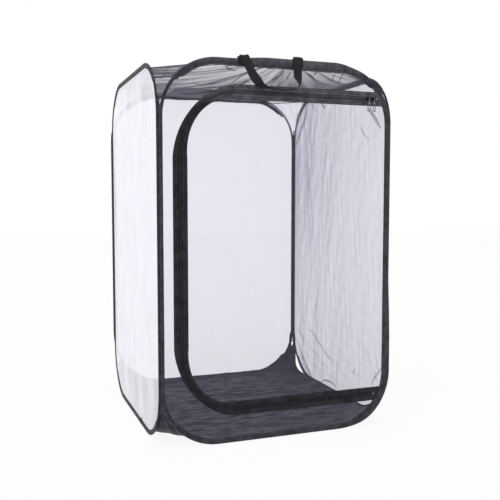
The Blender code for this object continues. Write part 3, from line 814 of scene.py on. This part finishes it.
# Folds of the top: the corners of each one's line, x and y, and its width, in millimetres.
TOP_FOLDS = [
    ([(-60, -98), (-58, -209), (-48, -270), (-40, -288)], 6.0),
    ([(-18, -37), (-27, -121), (-31, -170)], 6.0),
    ([(46, -116), (27, -231), (14, -288)], 4.0),
    ([(118, -232), (106, -286)], 4.0),
    ([(195, -171), (175, -227), (158, -276)], 3.0),
    ([(223, -160), (196, -234), (184, -270)], 3.0),
    ([(67, -276), (97, -250), (137, -202)], 7.0),
    ([(-156, -62), (-116, -67), (-88, -98)], 10.0),
    ([(-141, 196), (-99, 140), (-65, 16)], 13.0),
    ([(-132, -272), (-110, -245), (-87, -226)], 6.0),
    ([(12, -270), (28, -202), (35, -144)], 3.5),
    ([(-107, -3), (-82, -36), (-50, -69)], 9.0),
    ([(106, -284), (140, -276), (174, -272)], 6.0),
    ([(70, -170), (59, -204), (46, -257)], 3.0),
]


def top_height(x, y, cut):
    """The top's height at (x, y): its middle sags, and creases fan out across it from the middle of the front."""
    past = np.clip(np.abs(x) + np.abs(y) - (2 * HALF - CORNER), 0.0, ARC * 0.99)
    sag = (1.0 - (x / EDGE) ** 2) * (1.0 - (y / EDGE) ** 2)
    around, along = 0.22 * np.arctan2(x, y + 0.37), 0.25 * np.hypot(x, y + 0.37)
    soft = ripple(around, along, 71, 0.12, 0.016, 0.0, 0.9, 16)
    sharp = 1.0 - 2.2 * np.abs(ripple(around, along, 73, 0.10, 0.024, 0.0, 0.6))
    creases = smooth(to_edge(x, y, cut) / 0.05) * (0.0040 * soft + 0.0029 * sharp)
    return TURN_TOP + np.sqrt(ARC**2 - past**2) - 0.020 * sag + creases


def top_cloth():
    """The sheer black top: level with the hoops, falling along their arcs at the cut corners.

    Narrow folds of it hang on its underside: each follows a line and is widest in its middle.
    """
    cut = CORNER - ARC * math.sin(math.radians(TOP_SEAM))
    x, y = octagon(cut, TOP_GRID, TOP_GRID)
    grids = [open_grid(np.stack([x, y, top_height(x, y, cut)], -1))]
    for corners, width in TOP_FOLDS:
        x, y, bow = narrow_fold(corners, width, 5)
        grids.append(open_grid(np.stack([x, y, top_height(x, y, cut) - 0.0006 - 0.0018 * bow], -1)))
    # The folds take the denser, darker black net: doubled cloth, and painted shade in its tone.
    piece = skin("top_cloth", grids, black_net, (fold_shade_black, (TOP_GRID - 1) ** 2))
    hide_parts("top_sheet")
    return piece


def gusset_rows(sx, sy, seed):
    """The rows of points of a gusset between two hoops."""
    return corner_rows(sx, sy, TOP_SEAM, GUSSET_END, GUSSET_GRID, GUSSET_GRID, 1.0, 0.0042, seed)


def top_corner(name, sx, sy, seed):
    """The gusset between two hoops; at the left the black top runs on over its first rows."""
    black = front_white, BLACK_ROWS * (GUSSET_GRID - 1)
    finishes = (black_net, black) if name.endswith("left") else (white_net, None)
    piece = skin(f"gusset_{name}", [open_grid(gusset_rows(sx, sy, seed), sx * sy > 0)], *finishes)
    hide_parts(f"top_gusset_{name}")
    return piece


def corner_cord(name, sx, sy, angle, seed):
    """The sewn edge between two cloths of a corner: a thin round cord along the chord, wavy as they are."""
    thick = 0.0011
    last = GUSSET_GRID - 1
    row = np.clip(int((angle - TOP_SEAM) / (GUSSET_END - TOP_SEAM) * last), 1, last - 1)
    line = gusset_rows(sx, sy, seed)[row][:, None]
    ring = directions(np.arange(0.0, 360.0, 60.0)) * thick
    points = line + diagonal(sx, sy) * ring[:, :1] + np.array([0.0, 0.0, 1.0]) * ring[:, 1:]
    piece = skin(f"seam_top_{name}", [closed_grid(points, sx * sy < 0)], black_tape)
    return piece


def floor_arch(name, sx, sy):
    """The bound edge of a floor corner: a flat tape that rises in a pointed arch from one arc to the other."""
    ends = corner_rows(sx, sy, ARCH_FOOT, ARCH_FOOT, 1, 2, -1.0, 0.0, 0)[0]
    t = np.linspace(-0.02, 1.02, 61)[:, None]
    lift = arch(np.clip(t, 0.0, 1.0)) ** 0.45
    middle = ends[0] + (ends[1] - ends[0]) * t
    middle[:, 2:] += 0.022 * lift - 0.010 * (1.0 - lift)
    ribbon = strap_ribbon(middle, np.cross(np.gradient(middle, axis=0), diagonal(sx, sy)), 0.0110, 0.0010)
    piece = skin(f"floor_arch_{name}", [closed_grid(ribbon)], black_tape)
    return piece


def floor_cloth():
    """The floor: flat on the ground, rising to its seams over 30 mm, its corners turned up the arcs.

    Low creases run mostly across it. The rear right corner's edge is a V between its two arcs, and it
    hangs a little clear of the right one.
    """
    x, y = octagon(CORNER, 220, 150)
    near = to_edge(x, y, CORNER)
    crease = ripple(x, y, 91, 0.10, 0.014, 1.45, 0.9, 16)
    puckers = ripple(x, y, 92, 0.035, 0.009, 1.6, 1.6, 12)
    sharp = np.clip(1.0 - 3.0 * np.abs(ripple(x, y, 94, 0.15, 0.030, 1.5, 1.4)), 0.0, 1.0)
    uneven = 0.0042 * np.clip(crease + 0.15, 0.0, 2.0) + 0.0042 * sharp + 0.0009 * (puckers + 1.0)
    ground, rise = 0.0003, 0.030
    z = ground + (RIM - ground) * (1.0 - smooth(near / rise)) + uneven * smooth(near / 0.015)
    grids = [open_grid(np.stack([x, y, z], -1))]
    rows, cols = 30, 34
    for number, (sx, sy) in enumerate(((1, -1), (1, 1), (-1, 1), (-1, -1))):
        last, slack = FLOOR_GUSSET, 0.0
        if (sx, sy) == (1, 1):
            last, slack = FLOOR_GUSSET + 2.0 + 16.0 * np.abs(np.linspace(-1.0, 1.0, cols)), 0.19
        flap = corner_rows(sx, sy, 0.0, last, rows, cols, -1.0, 0.0025, 60 + number, slack)
        grids.append(open_grid(flap, sx * sy < 0))
    piece = skin("floor_cloth", grids, floor_finish)
    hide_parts("floor_sheet")
    return piece


def follow(piece, body, other, weights):
    """piece rides on body, and each vertex moves towards other by its weight.

    A Hook shares out the movement evenly, so a cloth between two bodies stays sewn to both.
    """
    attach(piece, body)
    group = piece.vertex_groups.new(name="Shared")
    steps = 64
    level = np.round(weights * steps).astype(int)
    for k in range(1, steps + 1):
        group.add(np.flatnonzero(level == k).tolist(), k / steps, "REPLACE")
    target = frame["bodies"][other]
    hook = piece.modifiers.new("Follow", "HOOK")
    hook.object = target
    hook.vertex_group = "Shared"
    bpy.context.view_layer.update()
    hook.matrix_inverse = target.matrix_world.inverted() @ piece.matrix_world


def vertex_array(piece):
    """The points of a piece, one row for each."""
    data = np.empty(len(piece.data.vertices) * 3, np.float32)
    piece.data.vertices.foreach_get("co", data)
    return data.reshape(-1, 3)


def hem(side, top):
    """A strip of the top or the floor, turned down inside the hoop and sewn behind its casing.

    It runs from 50 degrees down one arc to 50 degrees down the other, its free edge a little wavy.
    """
    start, down_arc = 0.0072, 50.0
    line, ways = hoop_line(*HOOP_STEPS)
    keep = (ways[:, 1] if top else -ways[:, 1]) > math.cos(math.radians(down_arc))
    first = np.flatnonzero(keep & ~np.roll(keep, 1))[0]
    order = np.roll(np.arange(len(line)), -first)[: keep.sum()]
    line, ways = line[order], ways[order]
    run = lengths(line)[:, None]
    ends = smooth(run / 0.02) * smooth((run[-1] - run) / 0.02)
    wide = (0.0105 if top else 0.0065) + 0.0016 * ripple(run, 0.0, 300 + len(side) + top, 0.09, 0.014)
    s = there_and_back(0.0, 1.0, 5)
    wave = 0.0005 * s * ripple(run, s, 310 + len(side), 0.05, 0.012)
    out = -0.0019 - 0.0010 * s + wave + np.repeat([0.0002, -0.0002], 5)
    points = place(side, *beside(line, ways, -(start + wide * ends * s)), out)
    piece = skin(f"{side}_{'top' if top else 'floor'}_hem", [closed_grid(points)], black_tape)
    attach(piece, f"{side}_panel")


def corner_seam(name, sx, sy):
    """A narrow strip that joins two hoops down their upright runs: a shallow arc between their edges.

    At the rear right it stops higher above the floor, over the hole that the arch there spans.
    """
    proud, wide, deep, thick, count = 0.0006, 0.0034, 0.0026, 0.0004, 7
    low = CORNER * (0.845 if (sx, sy) == (1, 1) else 0.72)
    z = np.linspace(low, HEIGHT - CORNER * 0.72, 80)[:, None]
    t = there_and_back(0.0, 1.0, count)
    bow = deep * arch(t) - np.repeat([0.0, thick], count)
    out = HALF + proud + 0.5 * bow - 0.0003 * np.cos(z * 90.0)
    x, y = sx * (out - wide * (1.0 - t)), sy * (out - wide * t)
    points = np.stack(np.broadcast_arrays(x, y, z), -1)
    piece = skin(f"seam_{name}", [closed_grid(points, sx * sy > 0)], black_tape)
    return piece


# ---------------------------------------------------------------- zip


def band(name, node, line, ways, sign, flip):
    """One tape of the zip: a thin band beside a line, outward or inward by sign, its back 0.5 mm behind.

    Two ribs run along it and its rim is a little loose. Where the line turns it narrows, to three
    fifths of its width in the middle of the turn.
    """
    s = np.linspace(0.0, 1.0, 10)
    ribs = 0.00030 * np.exp(-(((s - 0.93) / 0.05) ** 2)) + 0.00018 * np.exp(-(((s - 0.55) / 0.06) ** 2))
    waves = ripple(lengths(line)[:, None], 0.0, int(BAND_WIDE * 1e5), 0.05, 0.011)
    rim = 0.00045 * smooth((s - 0.45) / 0.5) * waves
    level = TAPE_OUT + np.concatenate([0.00025 + ribs + rim, rim[:, ::-1] - 0.00025], 1)
    across = sign * (0.0001 + (BAND_WIDE - 0.0001) * np.concatenate([s, s[::-1]]))
    u, z = beside(line, ways, across * (1.0 - 0.40 * np.abs(2.0 * ways[:, :1] * ways[:, 1:])))
    points = place("front", np.minimum(u, half_width(z, 0.0060)), z, level)
    piece = skin(name, [closed_grid(points, flip)], zip_cloth)
    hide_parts(node)
    return piece


# A tooth's five rings: how far each lies from the zip's middle, its level and its half diagonal.
TOOTH_REACH = np.array([0.0035, 0.0033, 0.0018, 0.0002, -0.0003])
TOOTH_LEVEL = np.array([-0.0004, 0.0006, 0.0008, 0.0007, 0.0001])
TOOTH_THICK = np.array([0.00045, 0.00050, 0.00050, 0.00056, 0.00046])


def coil_teeth(name, node, line, ways, sign, pitch=0.0016, shift=0.0):
    """Teeth of the coil, spaced evenly along the line: each is a short four-sided arch.

    It rises from the tape, runs to the middle of the zip and swells into a head there.
    """
    at = np.arange(pitch * (0.5 + shift), lengths(line)[-1] - pitch * 0.4, pitch)
    middle, way = spaced(line, ways, at)
    ahead = np.stack([-way[:, 1], way[:, 0]], 1)
    side, high = directions(SQUARE).T[:, None] * TOOTH_THICK[:, None]
    flat = middle[:, None, None] + way[:, None, None] * (sign * TOOTH_REACH[:, None, None])
    flat = flat + ahead[:, None, None] * side[..., None]
    rings = place("front", flat[..., 0], flat[..., 1], COIL_OUT + high + TOOTH_LEVEL[:, None])
    piece = small_tubes(name, rings, coil_finish, sign < 0)
    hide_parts(node)
    return piece


# ---------------------------------------------------------------- handles


def strap_ribbon(middle, wide_way, width, thickness):
    """A flat strap along a line, its width along given ways, its two edges rounded."""
    run = unit(np.gradient(middle, axis=0))
    wide = unit(wide_way - run * (wide_way * run).sum(1)[:, None])
    s = there_and_back(-1.0, 1.0, 11)
    depth = np.repeat([1.0, -1.0], 11) * np.sqrt(np.clip(1.02 - np.abs(s) ** 8, 0.02, 1.0))
    across = wide[:, None] * (s * width / 2)[:, None]
    return middle[:, None] + across + np.cross(run, wide)[:, None] * (depth * thickness / 2)[:, None]


def turned(turn):
    """Level directions, turned from x by given angles."""
    return np.stack([np.cos(turn), -np.sin(turn), 0.0 * turn], 1)


# The hanging loop's middle line, x, y and z in millimetres, and the turn of its width in degrees.
FRONT_LOOP = [
    (-98.5, -300.8, 922.4, 0),
    (-96.0, -306.2, 920.8, 0),
    (-91.5, -308.4, 912.0, 0),
    (-86.4, -308.6, 899.8, 0),
    (-79.4, -309.0, 886.5, 0),
    (-74.2, -310.0, 876.4, 8),
    (-65.6, -313.0, 864.2, 28),
    (-58.3, -315.5, 856.5, 50),
    (-46.4, -317.8, 849.5, 74),
    (-30.0, -318.2, 846.2, 90),
    (-8.0, -318.2, 845.0, 90),
    (15.0, -318.2, 846.0, 90),
    (31.0, -318.0, 849.2, 95),
    (38.5, -317.2, 856.0, 110),
    (40.2, -314.0, 866.0, 145),
    (40.2, -309.8, 877.0, 175),
    (40.2, -308.8, 891.4, 180),
    (40.4, -308.6, 902.0, 180),
    (40.4, -308.4, 914.0, 180),
    (40.4, -306.2, 925.0, 180),
    (40.4, -300.8, 926.4, 180),
]


def front_strap():
    """The hanging loop: each leg comes over its sewn end, falls flat and turns edge-on towards the bottom."""
    line = through(np.array(FRONT_LOOP) / (1000.0, 1000.0, 1000.0, 1.0), 160)
    return strap_ribbon(line[:, :3], turned(np.radians(line[:, 3])), *STRAP)


def back_strap():
    """The same loop lying forward on the top: half an oval whose width turns edge-on in its middle."""
    t = np.linspace(0.0, 1.0, 121)
    deep = arch(t)
    line = np.stack([-np.cos(math.pi * t) * STRAP_SPAN / 2, -0.001 * smooth(deep), -0.060 * deep**0.75], 1)
    turn = math.pi / 2 * smooth((deep - 0.18) / 0.60)
    points = strap_ribbon(line, turned(np.where(t <= 0.5, turn, math.pi - turn)), *STRAP)
    laid = np.stack([-points[..., 0], points[..., 2], points[..., 1]], -1)
    return laid + np.array([BACK_HANDLE_X, MID, 0.9167])


def strap_piece(name, node, points):
    """A handle's strap as a piece."""
    piece = skin(name, [closed_grid(points)], strap_finish)
    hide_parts(node)
    return piece


def strap_fold(side, name, x, body, top):
    """The sewn end: two layers of the strap run up the outside of the hoop, over it and down the inside."""
    grids = []
    for shift, out, low, high in ((0.0, 0.0042, 0.9022, top), (-0.0045, 0.0029, 0.8985, top - 0.0017)):
        far = out * np.array([1.0, 1.0, 0.95, 0.62, 0.0, -0.62, -0.95, -1.0, -1.0])
        up = np.array([low, 0.9080, 0.9130, high - 0.0010, high, high - 0.0010, 0.9130, 0.9085, low + 0.003])
        line = through(np.stack([far, up], 1), 60)
        middle = place(side, WALLS[side][0][0] * x + shift, line[:, 1], line[:, 0])
        grids.append(closed_grid(strap_ribbon(middle, np.array([1.0, 0.0, 0.0]), *SEWN_STRAP)))
    piece = skin(f"{name}_cloth", grids, strap_finish)
    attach(piece, body)
    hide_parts(name)


# ---------------------------------------------------------------- build

for side in WALLS:
    hoop_casing(side)
wall_net("back", white_net, loose)
# The left wall takes the net with painted light, the right wall the net with painted shade.
wall_net("left", painted_lit_net, creased)
wall_net("right", shaded_net, fanned, RIGHT_FOLDS)
front_net()
door_sheet = door_net()

for cloth in (top_cloth(), floor_cloth()):
    depth = vertex_array(cloth)[:, 1]
    follow(cloth, "back_panel", "front_panel", np.clip((HALF - depth) / (2 * HALF), 0.0, 1.0))

CORNERS = {
    "front_left": (-1, -1, LEFT_SEAM, "left_panel", "front_panel"),
    "front_right": (1, -1, EDGE_SEAM, "right_panel", "front_panel"),
    "back_left": (-1, 1, LEFT_SEAM, "left_panel", "back_panel"),
    "back_right": (1, 1, EDGE_SEAM, "right_panel", "back_panel"),
}
for number, (name, (sx, sy, seam, on_x, on_y)) in enumerate(CORNERS.items()):
    seam_strip = corner_seam(name, sx, sy)
    cloths = [top_corner(name, sx, sy, 80 + number), corner_cord(name, sx, sy, seam, 80 + number), seam_strip]
    if seam == LEFT_SEAM:
        cloths.append(corner_cord(f"edge_{name}", sx, sy, EDGE_SEAM, 80 + number))
    if name == "back_right":
        cloths.append(floor_arch(name, sx, sy))
    for cloth in cloths:
        if name == "front_right":
            at = vertex_array(cloth)
            bend = smooth(0.5 + ((HALF - at[:, 0]) - (HALF + at[:, 1])) / CORNER_SOFT)
            follow(cloth, on_x, on_y, bend)
        else:
            end = (sx * (HALF - CORNER_SOFT), sy * (HALF + CORNER_SOFT), 0.85)
            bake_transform(cloth)
tape_joint("left", *JOINT_AT)
for side in WALLS:
    hem(side, True)
    hem(side, False)
    seam_stitches(side)

band_line, band_ways = zip_path(BAND_END)
tooth_line, tooth_ways = zip_path(ZIP_END)
door_line, door_ways = zip_path(HINGE_X)
outer_band = band("zip_band_outer", "zip_tape_outer", band_line, band_ways, 1.0, False)
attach(outer_band, "front_panel")
door_band = band("zip_band_door", "zip_tape_door", door_line, door_ways, -1.0, True)
outer_coil = coil_teeth("zip_teeth_outer", "zip_coil_outer", tooth_line, tooth_ways, 1.0)
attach(outer_coil, "front_panel")
door_coil = coil_teeth("zip_teeth_door", "zip_coil_door", door_line, door_ways, -1.0, shift=0.5)
for piece in (door_sheet, door_band, door_coil):
    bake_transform(piece)
for name, z, way in (("top", ZIP_TOP, 1.0), ("bottom", ZIP_LOW, -1.0)):
    x = np.linspace(HINGE_X + 0.0003, BAND_END, 16)
    short = np.stack([x, np.full(16, z)], 1)
    up = np.tile([0.0, way], (16, 1))
    piece = band(f"zip_band_end_{name}", f"zip_tape_end_{name}", short, up, -1.0, way < 0)
    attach(piece, "front_panel")
    inside = x < ZIP_END + 0.003
    piece = coil_teeth(f"zip_teeth_end_{name}", f"zip_coil_end_{name}", short[inside], up[inside], -1.0, shift=0.5)
    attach(piece, "front_panel")

front_loop = strap_piece("front_strap", "front_handle", front_strap())
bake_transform(front_loop)
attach(strap_piece("back_strap", "back_handle", back_strap()), "back_handle")
for side, middle in (("front", FRONT_HANDLE_X), ("back", BACK_HANDLE_X)):
    for end, way in (("left", -1.0), ("right", 1.0)):
        x = middle + way * STRAP_SPAN / 2 * WALLS[side][0][0]
        top_of = 0.9156 if side == "back" else 0.9206 if way < 0 else 0.9248
        strap_fold(side, f"{side}_handle_wrap_{end}", x, f"{side}_panel", top_of)

for name, node in frame["nodes"].items():
    if name.endswith(("_wire", "_ferrule")):
        node.material_slots[0].material = steel
    elif name.startswith("slider_"):
        node.material_slots[0].material = slider_metal
    elif name.startswith(("pull_", "zip_stop_")):
        node.material_slots[0].material = bright_metal


# ---------------------------------------------------------------- room


def white_to_the_eye(tree, lit, white, share, out):
    """Mixes two shaders: the camera, reflections and what is seen through glass get share of the white one."""
    path = tree.nodes.new("ShaderNodeLightPath")
    seen = maths(tree, "MAXIMUM", path.outputs["Is Camera Ray"], path.outputs["Is Glossy Ray"])
    seen = maths(tree, "MAXIMUM", seen, path.outputs["Is Transmission Ray"])
    mix = tree.nodes.new("ShaderNodeMixShader")
    tree.links.new(maths(tree, "MULTIPLY", seen, share), mix.inputs[0])
    tree.links.new(lit.outputs[0], mix.inputs[1])
    tree.links.new(white.outputs[0], mix.inputs[2])
    tree.links.new(mix.outputs[0], out.inputs["Surface"])


def stage_floor():
    """A pale floor that looks white to the camera and keeps the object's shadow."""
    made, tree, shader = new_material("Pale floor", {"Base Color": (0.86, 0.86, 0.86, 1.0), "Roughness": 0.9})
    glow = tree.nodes.new("ShaderNodeEmission")
    glow.inputs["Color"].default_value = (1.0, 1.0, 1.0, 1.0)
    white_to_the_eye(tree, shader, glow, 0.91, tree.nodes["Material Output"])
    data = bpy.data.meshes.new("stage_floor")
    data.from_pydata([(-9, -9, -0.0004), (9, -9, -0.0004), (9, 9, -0.0004), (-9, 9, -0.0004)], [], [(0, 1, 2, 3)])
    data.materials.append(made)
    plane = bpy.data.objects.new("stage_floor", data)
    bpy.context.scene.collection.objects.link(plane)


def room():
    """White to the camera and to reflections, a soft bluish sky for everything else."""
    world = bpy.data.worlds.new("Room")
    bpy.context.scene.world = world
    world.use_nodes = True
    tree = world.node_tree
    sky, white = tree.nodes["Background"], tree.nodes.new("ShaderNodeBackground")
    for node, colour, strength in ((sky, (0.95, 0.96, 1.0, 1.0), 0.92), (white, (1.0, 1.0, 1.0, 1.0), 1.0)):
        node.inputs["Color"].default_value = colour
        node.inputs["Strength"].default_value = strength
    white_to_the_eye(tree, sky, white, 1.0, tree.nodes["World Output"])


def lamp(name, where, size, power):
    """A square lamp, size metres wide and of power watts, turned towards the middle of the cage."""
    data = bpy.data.lights.new(name, "AREA")
    data.shape = "SQUARE"
    data.size = size
    data.energy = power
    made = bpy.data.objects.new(name, data)
    made.location = where
    away = np.array(where) - np.array([0.0, 0.0, 0.45])
    made.rotation_euler = (math.atan2(np.hypot(away[0], away[1]), away[2]), 0.0, math.atan2(away[0], -away[1]))
    bpy.context.scene.collection.objects.link(made)


stage_floor()
room()
lamp("key", (-2.3, -1.4, 2.9), 2.0, 26.0)
lamp("fill", (1.6, -2.8, 1.6), 2.5, 6.0)

camera = bpy.data.objects.new("camera", bpy.data.cameras.new("camera"))
camera.location = (-0.6699, -1.8914, 0.5884)
camera.rotation_euler = (math.pi / 2 - 0.0727, 0.0, -0.3555)
camera.data.lens = 51.14
bpy.context.scene.collection.objects.link(camera)
bpy.context.scene.camera = camera
bpy.context.scene.view_settings.view_transform = "Standard"
